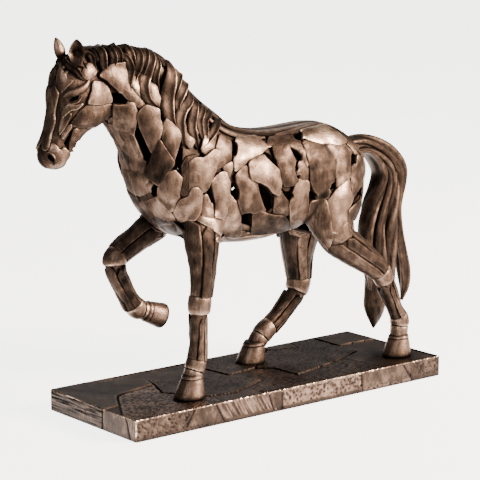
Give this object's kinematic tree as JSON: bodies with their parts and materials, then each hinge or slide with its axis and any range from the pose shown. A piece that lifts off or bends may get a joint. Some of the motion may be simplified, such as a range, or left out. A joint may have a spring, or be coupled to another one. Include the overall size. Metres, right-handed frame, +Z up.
{
  "type": "horse statue",
  "caption": "Walking horse statue in rubbed bronze finish, a pierced shell of overlapping plates on a paved plinth.",
  "frame": {"origin": "centre of the plinth's underside", "axes": "+X from the head to the tail, +Y from the horse's left side to its right side, +Z up"},
  "size_m": [0.326, 0.1004, 0.256],
  "materials": {
    "horse": "cold-cast bronze, dark brown in the recesses and rubbed to copper on the plates' edges and crowns",
    "plinth": "cold-cast bronze, stained dark on top with a wax gloss, copper on the sides and worn edges"
  },
  "bodies": {
    "root": {"horse": "horse", "plinth": "plinth"}
  },
  "joints": []
}
